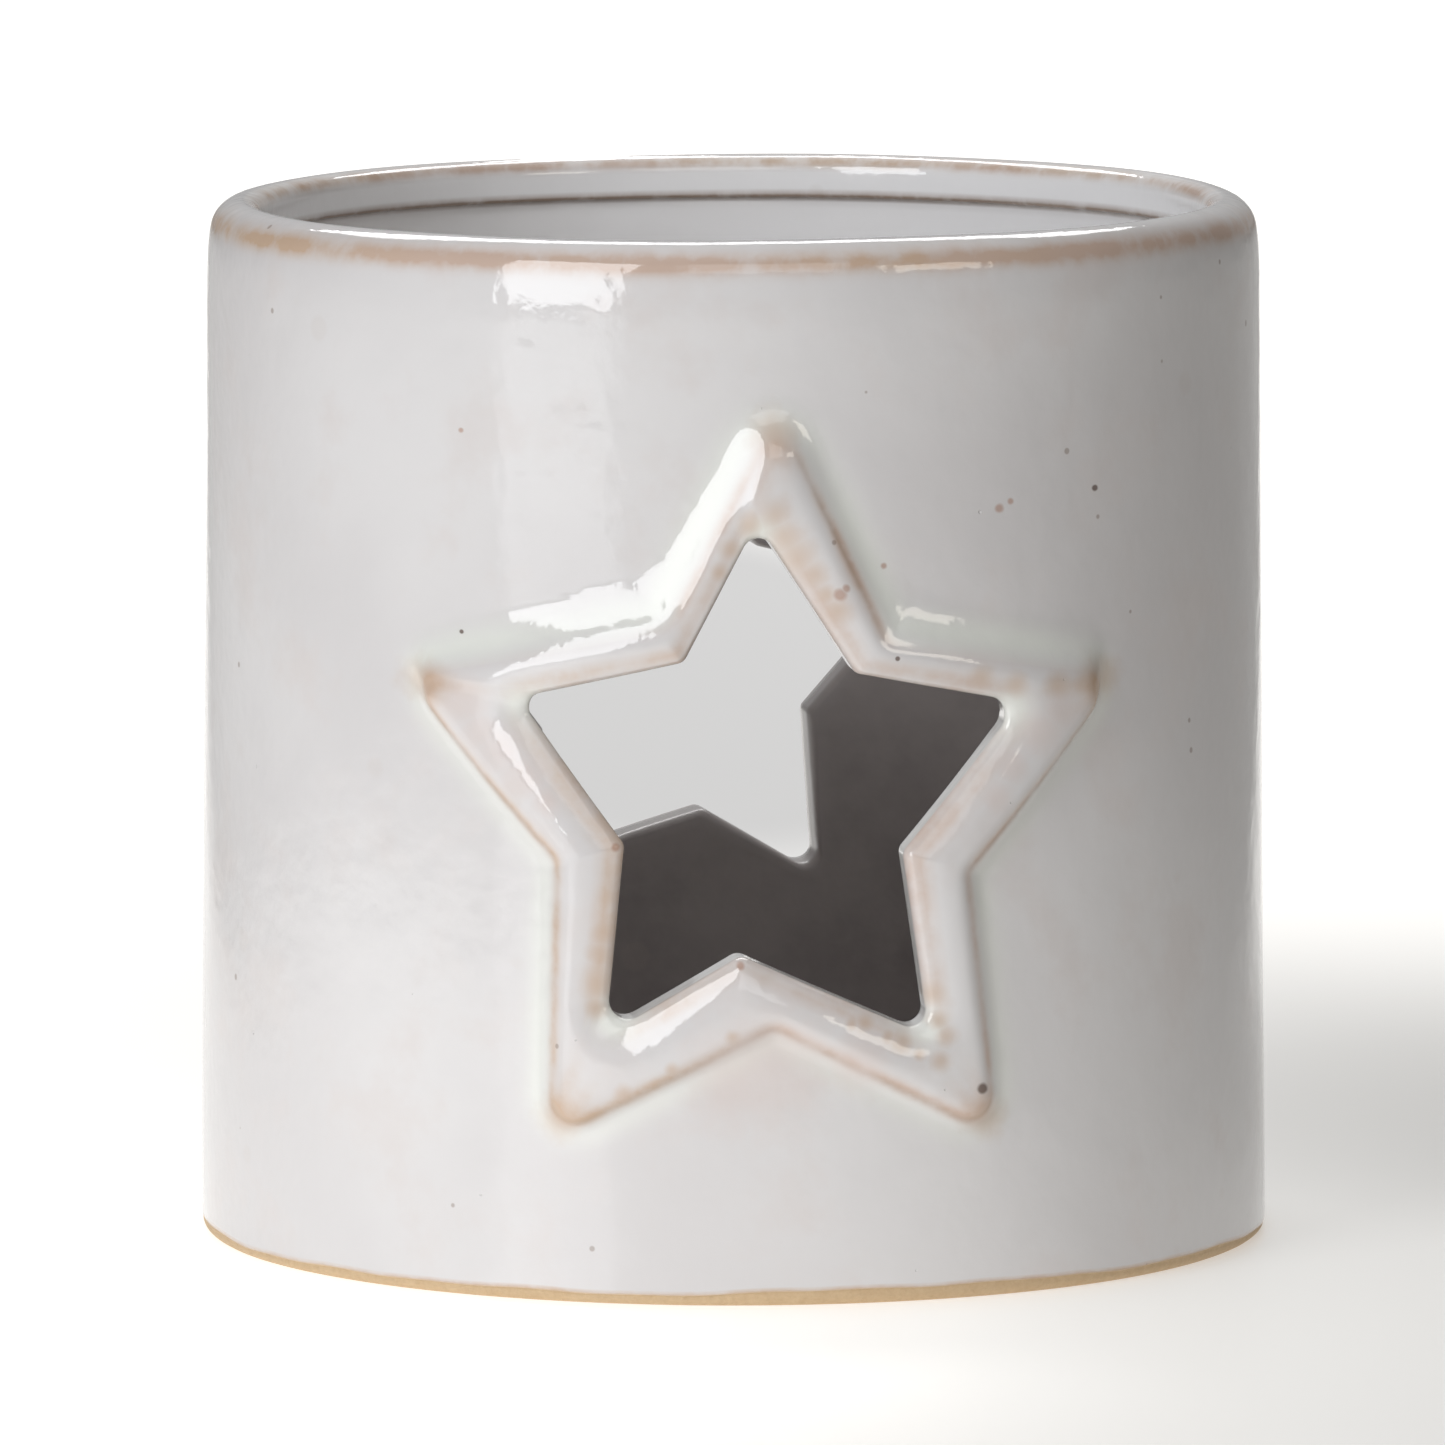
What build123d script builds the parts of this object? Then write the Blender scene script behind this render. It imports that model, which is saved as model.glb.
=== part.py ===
from build123d import *
from math import cos, radians, sin, tan
import os

# Glazed stoneware tealight holder with a raised star window at the front and at the back,
# and the low tealight that stands in it.
# Millimetres, +Z up, origin at the centre of the foot. The front window faces -Y.

# holder: a thick cup that widens very slightly towards its foot
height = 82.0
foot_outer_radius = 42.4
rim_outer_radius = 41.6
wall_thickness = 3.6
foot_rounding = 1.2

# underside: a standing ring round a shallow recess
foot_ring_inner_radius = 33.0
recess_depth = 0.6
recess_slope = 0.6
floor_thickness = 2.6
floor_corner_radius = 6.0

# rim: a rounded lip, thicker than the wall, with an undercut below it
lip_thickness = 4.4
lip_height = 3.5
rim_outer_rounding = 2.9
rim_inner_rounding = 1.3
lip_edge_rounding = 0.35

# star windows, laid out on the unrolled outer surface
star_corners = 5
window_centre_height = 39.0
back_window_turn = 182.3
window_tip_radius = 21.5
window_tip_half_angle = 30.0
window_corner_rounding = 1.1
window_edge_rounding = 0.8

# raised frame round each window
frame_width = 4.4
frame_relief = 1.3
frame_corner_rounding = 1.0
frame_edge_rounding = 0.6
frame_root_rounding = 0.5

# tealight: a low candle in a drawn aluminium cup
cup_radius = 19.0
cup_height = 10.0
cup_wall = 0.3
cup_corner_radius = 1.0
cup_bead_radius = 0.45
wax_clearance = 0.25
wax_height = 7.6
wax_edge_rounding = 0.8
sustainer_radius = 6.5
sustainer_disc_thickness = 0.4
sustainer_neck_radius = 1.6
sustainer_neck_height = 3.0
wick_radius = 0.9
wick_tip_rounding = 0.3
wick_above_wax = 5.5
wick_foot = 0.6
seat_clearance = 0.05

# heights that follow from the dimensions above
floor_height = recess_depth + floor_thickness
lip_bottom = height - lip_height
wax_bottom = floor_height + cup_wall
wax_top = wax_bottom + wax_height
cup_top = floor_height + cup_height
disc_top = wax_bottom + sustainer_disc_thickness
neck_top = disc_top + sustainer_neck_height
wick_bottom = wax_bottom + wick_foot
wick_top = wax_top + wick_above_wax

# a length that reaches from the axis past the outside of the wall
through_wall = foot_outer_radius + 2 * frame_width

# upright planes through the axis, facing the front window and the back one
window_planes = [Plane.XZ, Plane.XZ.rotated((0, 0, back_window_turn))]

os.makedirs("parts", exist_ok=True)


def outer_radius(z):
    """Radius of the plain outer wall at height z."""
    return foot_outer_radius - (foot_outer_radius - rim_outer_radius) * z / height


def inner_radius(z):
    """Radius of the cavity wall below the lip at height z."""
    return outer_radius(z) - wall_thickness


def radial_distance(edge):
    """Distance of an edge's middle from the vertical axis."""
    middle = edge.position_at(0.5)
    return Vector(middle.X, middle.Y, 0).length


def star_points(edge_offset):
    """Corners of the star with its edges moved out by edge_offset, wrapped round the wall, seen along Y."""
    wall_radius = outer_radius(window_centre_height)
    half_step = radians(180 / star_corners)
    half_angle = radians(window_tip_half_angle)
    tip = window_tip_radius + edge_offset / sin(half_angle)
    reflex = tip * tan(half_angle) / (sin(half_step) + tan(half_angle) * cos(half_step))
    points = []
    for corner in range(2 * star_corners):
        reach = tip if corner % 2 == 0 else reflex
        along_wall = reach * sin(half_step * corner)
        across = wall_radius * sin(along_wall / wall_radius)
        points.append((across, window_centre_height + reach * cos(half_step * corner)))
    return points


def is_root_edge(edge):
    """True for the edges where a frame's side meets the plain wall."""
    return radial_distance(edge) < outer_radius(edge.position_at(0.5).Z) + 0.05


def is_crest_edge(edge):
    """True for the edges on the outermost face of a frame."""
    return radial_distance(edge) > outer_radius(edge.position_at(0.5).Z) + frame_relief / 2


def is_window_inner_edge(edge):
    """True for the edges where a window meets the cavity wall."""
    middle = edge.position_at(0.5)
    on_wall = abs(radial_distance(edge) - inner_radius(middle.Z)) < 0.1
    rise = abs(middle.Z - window_centre_height)
    return on_wall and rise < window_tip_radius and abs(middle.X) < window_tip_radius < abs(middle.Y)


# The two star frames: a star-shaped prism cut from a thin shell that stands proud of the wall.
with BuildPart() as star_frames:
    with BuildSketch(*window_planes) as frame_outline:
        with BuildLine() as frame_line:
            Polyline(*star_points(frame_width), close=True)
        make_face()
        fillet(frame_outline.vertices(), radius=frame_corner_rounding)
    extrude(amount=through_wall)
    with BuildSketch(Plane.XZ) as shell_section:
        with BuildLine() as shell_line:
            Polyline(
                (foot_outer_radius - wall_thickness / 2, 0),
                (foot_outer_radius + frame_relief, 0),
                (rim_outer_radius + frame_relief, height),
                (rim_outer_radius - wall_thickness / 2, height),
                close=True,
            )
        make_face()
    revolve(axis=Axis.Z, mode=Mode.INTERSECT)
    fillet(star_frames.edges().filter_by(is_crest_edge), radius=frame_edge_rounding)

# The holder: a turned cup, with the frames added and the star windows cut through both walls.
with BuildPart() as ceramic_body:
    with BuildSketch(Plane.XZ) as wall_section:
        with BuildLine() as wall_line:
            Polyline(
                (0, recess_depth),
                (foot_ring_inner_radius - recess_slope, recess_depth),
                (foot_ring_inner_radius, 0),
                (foot_outer_radius, 0),
                (rim_outer_radius, height),
                (rim_outer_radius - lip_thickness, height),
                (rim_outer_radius - lip_thickness, lip_bottom),
                (inner_radius(lip_bottom), lip_bottom),
                (inner_radius(floor_height), floor_height),
                (0, floor_height),
                close=True,
            )
        make_face()
        corners = wall_section.vertices()
        foot_corner = corners.sort_by(Axis.X)[-1]
        rim_corners = corners.group_by(Axis.Y)[-1].sort_by(Axis.X)
        lip_corners = corners.group_by(Axis.Y)[-2]
        floor_corner = corners.filter_by_position(Axis.Y, floor_height, floor_height).sort_by(Axis.X)[-1]
        fillet(foot_corner, radius=foot_rounding)
        fillet(rim_corners[-1], radius=rim_outer_rounding)
        fillet(rim_corners[0], radius=rim_inner_rounding)
        fillet(lip_corners, radius=lip_edge_rounding)
        fillet(floor_corner, radius=floor_corner_radius)
    revolve(axis=Axis.Z)
    add(star_frames.part)
    fillet(ceramic_body.edges(Select.LAST).filter_by(is_root_edge), radius=frame_root_rounding)
    with BuildSketch(*window_planes) as window_outline:
        with BuildLine() as window_line:
            Polyline(*star_points(0), close=True)
        make_face()
        fillet(window_outline.vertices(), radius=window_corner_rounding)
    extrude(amount=through_wall, mode=Mode.SUBTRACT)
    fillet(ceramic_body.edges(Select.LAST).filter_by(is_crest_edge), radius=window_edge_rounding)
    fillet(ceramic_body.edges().filter_by(is_window_inner_edge), radius=window_edge_rounding)
ceramic_body.part.label = "ceramic_body"
export_step(ceramic_body.part, "parts/ceramic_body.step")

# The tealight's cup: drawn foil with a rounded heel and a rolled bead at its mouth.
with BuildPart() as tealight_cup:
    with BuildSketch(Plane.XZ) as cup_section:
        with BuildLine() as cup_line:
            Polyline(
                (0, floor_height),
                (cup_radius, floor_height),
                (cup_radius, cup_top - cup_bead_radius),
                (cup_radius - cup_wall, cup_top - cup_bead_radius),
                (cup_radius - cup_wall, wax_bottom),
                (0, wax_bottom),
                close=True,
            )
        make_face()
        low_corners = cup_section.vertices().filter_by(lambda corner: corner.Y < cup_top / 2)
        heel_corners = low_corners.group_by(Axis.X)
        fillet(heel_corners[-1], radius=cup_corner_radius)
        fillet(heel_corners[-2], radius=cup_corner_radius - cup_wall)
        with Locations((cup_radius - cup_wall + cup_bead_radius, cup_top - cup_bead_radius)):
            Circle(cup_bead_radius)
    revolve(axis=Axis.Z)
tealight_cup.part.label = "tealight_cup"
export_step(tealight_cup.part, "parts/tealight_cup.step")

# The wick's sustainer: a stamped disc with a neck that is crimped round the wick's foot.
with BuildPart() as wick_sustainer:
    with BuildSketch(Plane.XY.offset(wax_bottom)) as disc_outline:
        Circle(sustainer_radius)
    extrude(amount=sustainer_disc_thickness)
    with BuildSketch(Plane.XY.offset(disc_top)) as neck_outline:
        Circle(sustainer_neck_radius)
    extrude(amount=sustainer_neck_height)
    with BuildSketch(Plane.XY.offset(wick_bottom)) as neck_bore:
        Circle(wick_radius + seat_clearance)
    extrude(amount=neck_top - wick_bottom, mode=Mode.SUBTRACT)
wick_sustainer.part.label = "wick_sustainer"
export_step(wick_sustainer.part, "parts/wick_sustainer.step")

# The wick stands in the neck and comes out through the top of the wax.
with BuildPart() as tealight_wick:
    with BuildSketch(Plane.XY.offset(wick_bottom)) as wick_outline:
        Circle(wick_radius)
    extrude(amount=wick_top - wick_bottom)
    fillet(tealight_wick.edges().group_by(Axis.Z)[-1], radius=wick_tip_rounding)
tealight_wick.part.label = "tealight_wick"
export_step(tealight_wick.part, "parts/tealight_wick.step")

# The wax: a pressed puck, loose in its cup, hollow only where the sustainer and the wick sit.
with BuildPart() as tealight_wax:
    wax_radius = cup_radius - cup_wall - wax_clearance
    with BuildSketch(Plane.XZ) as wax_section:
        with BuildLine() as wax_line:
            Polyline(
                (wick_radius + seat_clearance, neck_top),
                (wick_radius + seat_clearance, wax_top),
                (wax_radius, wax_top),
                (wax_radius, wax_bottom),
                (sustainer_radius + seat_clearance, wax_bottom),
                (sustainer_radius + seat_clearance, disc_top),
                (sustainer_neck_radius + seat_clearance, disc_top),
                (sustainer_neck_radius + seat_clearance, neck_top),
                close=True,
            )
        make_face()
        fillet(wax_section.vertices().group_by(Axis.X)[-1], radius=wax_edge_rounding)
    revolve(axis=Axis.Z)
tealight_wax.part.label = "tealight_wax"
export_step(tealight_wax.part, "parts/tealight_wax.step")
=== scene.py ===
import math

import bpy
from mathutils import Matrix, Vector
import numpy as np


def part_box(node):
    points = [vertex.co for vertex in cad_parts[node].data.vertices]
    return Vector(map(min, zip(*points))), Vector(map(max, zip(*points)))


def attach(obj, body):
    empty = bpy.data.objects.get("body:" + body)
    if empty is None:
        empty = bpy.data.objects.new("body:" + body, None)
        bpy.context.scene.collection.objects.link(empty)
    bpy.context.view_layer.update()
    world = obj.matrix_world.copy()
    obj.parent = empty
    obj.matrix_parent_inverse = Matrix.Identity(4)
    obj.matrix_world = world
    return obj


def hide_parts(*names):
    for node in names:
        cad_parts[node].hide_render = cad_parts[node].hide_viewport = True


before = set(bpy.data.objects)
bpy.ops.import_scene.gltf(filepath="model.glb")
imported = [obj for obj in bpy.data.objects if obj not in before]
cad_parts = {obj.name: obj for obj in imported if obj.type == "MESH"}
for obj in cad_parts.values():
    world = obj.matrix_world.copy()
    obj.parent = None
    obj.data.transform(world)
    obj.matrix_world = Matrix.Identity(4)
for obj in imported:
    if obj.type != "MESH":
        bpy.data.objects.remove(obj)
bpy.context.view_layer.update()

# Glazed stoneware tealight holder with a low tealight inside. Shapes are worked out in millimetres, in the
# frame of the CAD model, and become metres when a mesh is made. The front star faces -Y.
MM = 0.001

# ---------------------------------------------------------------- dimensions, in mm

# the wall follows the CAD body, tapers upward, and leaves its slight swelling room inside the CAD box
BODY_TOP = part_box("ceramic_body")[1]
HEIGHT = BODY_TOP.z / MM
BOX_ROOM = 0.1
TAPER = 0.8
FOOT_RADIUS = BODY_TOP.x / MM - BOX_ROOM
RIM_RADIUS = FOOT_RADIUS - TAPER
WALL = 3.6
SWELL = 0.14

# the lip, and how far below the top its undercut and its inner edge are
LIP_THICKNESS = 4.35
LIP_DEPTH = 3.5
LIP_EDGE_ROUNDING = 0.35
CROWN_DROP = 0.1
RIM_INNER_ROUNDING = 1.3
RIM_OUTER_ROUNDING = 2.58

# heights at which the outside leans inward by so many degrees, up to where the rim's rounding begins
RIM_TURN = 80.0
LEAN_HEIGHTS = [75.0, 76.8, 78.0, 79.2, RIM_TURN]
LEAN_DEGREES = [0.56, 2.2, 3.5, 6.5, 13.0]
LEAN_STEPS = 14

# the foot: where the glaze ends, the glaze's bead there, and a bare ring round a shallow recess
FOOT_LINE = 0.95
FOOT_BEAD = 0.45
FOOT_STEP = 0.16
FOOT_ROUNDING = 0.9
FOOT_RING_INNER = 33.0
RECESS = 0.8
RECESS_SLOPE = 0.6

# the floor inside, where the tealight stands, and its rounded corner
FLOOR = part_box("tealight_cup")[0].z / MM
FLOOR_CORNER = 6.0

# the star, on the wall unrolled at this radius, with a column of points for each degree round its middle
UNROLL = 42.0
STAR_HEIGHT = 39.0
CORNERS = 10
SECTOR = 36
TIP_ARC = 5
HOLLOW_ARC = 4

# the raised frame: its crest above the wall, how much lower it is at the opening and over what distance
FRAME_WIDTH = 4.3
CREST_HEIGHT = 1.43
CREST_SOFTNESS = 1.5
FACE_DROP = 1.15
FACE_RUN = 3.3

# the cut through the wall: its outer edge, which starts at a tilt, its inner edge and its slight slant
EDGE_ROUNDING = 1.0
EDGE_TILT = math.radians(29.0)
INNER_EDGE_ROUNDING = 0.8
CUT_SKEW = math.tan(math.radians(4.0))

# the rectangle on the unrolled wall where the star's rings give way to plain rows and columns, and the
# columns, clockwise from the top, that end at its right-hand corners
CORNER_COLUMN = 45
LOWER_CORNER_COLUMN = 131
PATCH_HALF_WIDTH = 36.0
PATCH_TOP = STAR_HEIGHT + PATCH_HALF_WIDTH
PATCH_BOTTOM = STAR_HEIGHT - PATCH_HALF_WIDTH * math.tan(math.radians(LOWER_CORNER_COLUMN - 90.0))
PATCH_ANGLE = PATCH_HALF_WIDTH / UNROLL
SIDE_COLUMNS = 44

# heights between which painted shade turns the inside from pale to dark, and above which painted light makes
# its glaze white
PAINTED_SHADE_BELOW = 46.0
UNSHADED_ABOVE = 72.0
PAINTED_LIGHT_FROM = 70.0
PAINTED_LIGHT_ABOVE = 75.0
INSIDE_PAINTED_LIGHT = 0.9

# points of the mesh that fall in the same cell of this size become one
WELD = 0.004


def outer_radius(z):
    """Radius of the plain outside wall at height z."""
    return FOOT_RADIUS - (FOOT_RADIUS - RIM_RADIUS) * z / HEIGHT


def swell(phi, z):
    """How far the hand-finished wall stands in or out at an angle and a height, from -SWELL to 0."""
    slow = 0.45 * np.sin(2 * phi + 0.6 + 0.030 * z) + 0.25 * np.sin(3 * phi - 1.1 + 0.055 * z)
    quick = 0.18 * np.sin(5 * phi + 0.4 - 0.11 * z) + 0.12 * np.sin(8 * phi + 2.0 + 0.16 * z)
    return SWELL * 0.5 * (slow + quick - 1.0)


def inner_swell(phi, z):
    """The same for the inside wall, half as much and elsewhere round it."""
    return 0.5 * swell(phi + 1.3, z)


def smooth_min(a, b, softness):
    """The lower of a and b, with the corner between them rounded over softness."""
    overlap = np.maximum(softness - np.abs(a - b), 0.0) / softness
    return np.minimum(a, b) - overlap ** 2 * softness / 4


def smooth_max(a, b, softness):
    """The higher of a and b, with the corner between them rounded over softness."""
    return -smooth_min(-a, -b, softness)


# ---------------------------------------------------------------- mesh collector


class Shell:
    """Collects grids of points with their glaze values, and joins them into one mesh."""

    def __init__(self, values):
        self.points = []
        self.values = {name: [] for name in values}
        self.faces = []
        self.count = 0

    def grid(self, points, values, closed=False):
        """Adds rows of points, shaped (rows, columns, 3), with a value of each kind for each point."""
        rows, columns = points.shape[:2]
        index = self.count + np.arange(rows * columns).reshape(rows, columns)
        if closed:
            index = np.concatenate([index, index[:, :1]], axis=1)
        a, b = index[:-1, :-1], index[:-1, 1:]
        c, d = index[1:, 1:], index[1:, :-1]
        self.faces.append(np.stack((a, d, c, b), axis=-1).reshape(-1, 4))
        self.points.append(points.reshape(-1, 3))
        for name, held in self.values.items():
            given = values.get(name, 0.0)
            held.append(np.broadcast_to(given, (rows, columns)).reshape(-1))
        self.count += rows * columns

    def turned(self, phi, radius, z, values):
        """Adds a band all the way round, given as rows of radius and height, with a column for each angle."""
        self.grid(on_axis(np.broadcast_to(phi, radius.shape), radius, z), values, closed=True)

    def make(self, name):
        """Welds points that coincide and returns the finished object."""
        points = np.concatenate(self.points)
        faces = np.concatenate(self.faces)
        keys = np.round(points / WELD).astype(np.int64)
        _, first, back = np.unique(keys, axis=0, return_index=True, return_inverse=True)
        faces = back.reshape(-1)[faces]
        points = points[first]
        polygons = []
        for face in faces.tolist():
            ring = [v for i, v in enumerate(face) if v != face[i - 1]]
            if len(set(ring)) > 2:
                polygons.append(ring)
        mesh = bpy.data.meshes.new(name)
        mesh.from_pydata((points * MM).tolist(), [], polygons)
        for kind, held in self.values.items():
            attribute = mesh.attributes.new(kind, "FLOAT", "POINT")
            attribute.data.foreach_set("value", np.concatenate(held)[first].astype(np.float32))
        mesh.validate()
        mesh.polygons.foreach_set("use_smooth", [True] * len(mesh.polygons))
        piece = bpy.data.objects.new(name, mesh)
        bpy.context.scene.collection.objects.link(piece)
        return piece


def on_axis(phi, radius, z):
    """Points at an angle from the front, a radius and a height."""
    return np.stack(np.broadcast_arrays(radius * np.sin(phi), -radius * np.cos(phi), z), axis=-1)


# ---------------------------------------------------------------- outlines of the star

# a regular star, in mm from its middle: the corners of its opening and of the crest of its raised frame
OPENING_TIPS = 22.0
OPENING_HOLLOWS = 12.0
CREST_TIPS = 30.0
CREST_HOLLOWS = 16.5

# how the hand-cut corners differ from it, tips and hollows in turn from the top: (mm outward, degrees
# clockwise, rounding in mm)
FRONT_OPENING = [
    (-0.5, -2, 1.2), (0, -1, 0.9), (0, -0.5, 1.6), (-0.5, 3, 0.9), (0.5, 1, 1.3),
    (0, 9.5, 1.0), (0, -1.5, 1.5), (-0.5, 1, 0.9), (-1, 3.5, 1.2), (0.5, 5.5, 0.9),
]
BACK_OPENING = [
    (-0.5, -2, 1.2), (0, -3, 0.9), (0, -2.5, 1.3), (0, 1.5, 0.9), (-2, -4, 1.3),
    (-1, 11, 0.9), (-2, -0.5, 1.3), (-1, 4, 0.9), (-1, 3.5, 1.2), (0.5, 5.5, 0.9),
]
FRONT_CREST = [
    (-0.5, 1.5, 1.6), (-1.5, 1.5, 1.8), (0.5, 2, 1.7), (0, 2, 1.8), (1.5, 1.5, 1.7),
    (0.5, -2, 1.8), (0.5, -3.5, 1.7), (0, 2, 1.8), (0, -1, 1.6), (-1.5, 7.5, 3.0),
]
BACK_CREST = [
    (0, 0.5, 1.6), (0, -1.5, 1.8), (0.5, 2, 1.7), (0, 2, 1.8), (0, -1, 1.7),
    (0, 0, 1.8), (0, -2.5, 1.7), (0, 2, 1.8), (0, -0.5, 1.6), (0, 5.5, 2.4),
]


def hand_cut(tip_radius, hollow_radius, differences):
    """The corners of a hand-cut star: (radius, angle from the top in degrees, rounding)."""
    corners = []
    for place, (outward, turned, rounding) in enumerate(differences):
        radius = tip_radius if place % 2 == 0 else hollow_radius
        corners.append((radius + outward, place * 360 / CORNERS + turned, rounding))
    return corners


def unit(vectors):
    """The same vectors at length 1."""
    return vectors / np.linalg.norm(vectors, axis=-1, keepdims=True)


def rounded_outline(corners):
    """Points round a ten-cornered outline with rounded corners, SECTOR steps from corner to corner."""
    radius, angle, roundings = np.array(corners).T
    angle = np.radians(angle)
    sharp = np.stack([radius * np.sin(angle), radius * np.cos(angle)], axis=-1)
    arcs = []
    for i in range(CORNERS):
        rounding = roundings[i]
        steps = TIP_ARC if i % 2 == 0 else HOLLOW_ARC
        back = unit(sharp[i - 1] - sharp[i])
        ahead = unit(sharp[(i + 1) % CORNERS] - sharp[i])
        half_angle = 0.5 * math.acos(float(back @ ahead))
        centre = sharp[i] + unit(back + ahead) * rounding / math.sin(half_angle)
        ends = sharp[i] + np.array([back, ahead]) * rounding / math.tan(half_angle) - centre
        begin, end = np.arctan2(ends[:, 1], ends[:, 0])
        turn = (end - begin + math.pi) % math.tau - math.pi
        sweep = begin + turn * np.linspace(0, 1, 2 * steps + 1)
        arcs.append(centre + rounding * np.stack([np.cos(sweep), np.sin(sweep)], axis=-1))
    outline = []
    for arc, after in zip(arcs, arcs[1:] + arcs[:1]):
        half, half_after = len(arc) // 2, len(after) // 2
        share = np.linspace(0, 1, SECTOR - half - half_after + 1)[1:-1, None]
        outline += [arc[half:], arc[-1] + (after[0] - arc[-1]) * share, after[:half_after]]
    return np.concatenate(outline)


def rectangle_outline():
    """Points round the patch's rectangle, at even angles, so that its corners are among them."""
    angle = np.radians(np.arange(CORNERS * SECTOR) * 360.0 / (CORNERS * SECTOR))
    sine, cosine = np.sin(angle), np.cos(angle)
    upright = np.where(cosine > 0, PATCH_TOP - STAR_HEIGHT, STAR_HEIGHT - PATCH_BOTTOM)
    with np.errstate(divide="ignore"):
        reach = np.minimum(PATCH_HALF_WIDTH / np.abs(sine), upright / np.abs(cosine))
    return np.stack([reach * sine, reach * cosine], axis=-1)


def distance_to(points, outline):
    """Shortest distance from each point to a closed outline."""
    start = outline
    along = np.roll(outline, -1, axis=0) - outline
    length = (along ** 2).sum(-1)
    flat = points.reshape(-1, 1, 2)
    share = np.clip(((flat - start) * along).sum(-1) / length, 0, 1)
    nearest = start + share[..., None] * along
    return np.sqrt(((flat - nearest) ** 2).sum(-1)).min(-1).reshape(points.shape[:-1])


rectangle = rectangle_outline()


# ---------------------------------------------------------------- the ceramic body

BACK_TURN = math.radians(183.6)

# rings of a star patch: mm out from the crest, shares of the way in to the opening, and counts
CREST_STEPS = np.array([0.1, 0.2, 0.32, 0.46, 0.62, 0.8, 1.0, 1.25, 1.55, 1.9, 2.35, 2.9, 3.6])
FACE_SHARES = [0.03, 0.07, 0.12, 0.18, 0.26, 0.36, 0.48, 0.62, 0.78, 0.9, 1.0]
BLEND_RINGS = 11
EDGE_RINGS = 7
CUT_RINGS = 6
INNER_RINGS = 13
QUARTER = np.linspace(0, np.pi / 2, 7)

# the skirt of the frame is wider above an upward-facing crest, and leaves room for the plain wall
LEDGE_SPREAD = 1.6
LEAST_SLANT = 0.45
SKIRT_SHARE = 0.6

# what changes with the way that the crest faces, from -1 (down) to 1 (up): the frame's side slope, the
# rounding of its foot where glaze pools, the brown line on the crest, and the pooled glaze's strength
SIDE_SLOPE = ([-1.0, 0.0, 0.35, 0.75, 1.0], [1.7, 1.5, 1.05, 1.05, 1.1])
FOOT_POOLING = ([-1.0, 0.0, 0.35, 0.8, 1.0], [0.8, 1.1, 1.7, 2.7, 3.0])
CREST_LINE = ([-1.0, 0.0, 0.35, 0.7, 1.0], [0.95, 0.85, 0.8, 0.35, 0.1])
POOL_STRENGTH = ([-1.0, 0.2, 1.0], [0.5, 0.9, 1.0])

# the upper right limb of the front star, in columns, where the glaze is thinnest
THIN_LIMB = 18


def bell(x, middle, width):
    """A soft peak of height 1 at the middle."""
    return np.exp(-(((x - middle) / width) ** 2))


def ramp(x, start, end):
    """A soft step from 0 at start to 1 at end."""
    t = np.clip((x - start) / (end - start), 0, 1)
    return t * t * (3 - 2 * t)


def inner_radius(phi, z):
    """Radius of the cavity wall below the lip."""
    return outer_radius(z) - WALL - inner_swell(phi, z)


def inside_glaze(z):
    """Glaze values of the cavity wall at height z: painted shade makes it dark low down, and painted light
    makes it white near the lip.
    """
    return {
        "inside": 1 - ramp(z, PAINTED_SHADE_BELOW, UNSHADED_ABOVE),
        "pale": INSIDE_PAINTED_LIGHT * ramp(z, PAINTED_LIGHT_FROM, PAINTED_LIGHT_ABOVE),
    }


def relief(beyond, opened, slope, pooling):
    """Height of the frame above the wall, from the distances past its crest and from its opening."""
    face = CREST_HEIGHT - FACE_DROP * (1 - np.clip(opened / FACE_RUN, 0, 1)) ** 2
    side = CREST_HEIGHT - slope * (beyond + 0.12)
    return smooth_max(smooth_min(face, side, CREST_SOFTNESS), 0.0, pooling)


def averaged(values, reach):
    """A closed row of values, each averaged with its neighbours."""
    return sum(np.roll(values, i) for i in range(-reach, reach + 1)) / (2 * reach + 1)


def facing(crest):
    """The unit vector that each column's piece of the crest faces along, across and up."""
    tangent = np.roll(crest, -1, axis=0) - np.roll(crest, 1, axis=0)
    return unit(np.stack([-tangent[:, 1], tangent[:, 0]], axis=-1))


def outer_rings(opening, crest, normal, upward):
    """Rings from the rectangle in over the crest to the opening's rounded edge, and the crest's index."""
    outward = unit(rectangle - crest)
    slant = np.maximum((outward * normal).sum(-1), LEAST_SLANT)[:, None]
    room = np.linalg.norm(rectangle - crest, axis=-1, keepdims=True)
    spread = np.interp(upward, [0.3, 1.0], [1.0, LEDGE_SPREAD])[:, None]
    reach = np.minimum(CREST_STEPS[-1] * spread / slant, SKIRT_SHARE * room) / CREST_STEPS[-1]
    skirt = [crest + outward * reach * step for step in CREST_STEPS[::-1]]
    shares = (np.arange(BLEND_RINGS, 0, -1) / BLEND_RINGS) ** 1.15
    blend = [skirt[0] + (rectangle - skirt[0]) * share for share in shares]
    edge = opening + (crest - opening) * EDGE_ROUNDING * (1 - math.sin(EDGE_TILT)) / FRAME_WIDTH
    faces = [crest + (edge - crest) * share for share in FACE_SHARES]
    return np.array(blend + skirt + [crest] + faces), len(blend) + len(skirt)


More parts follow.
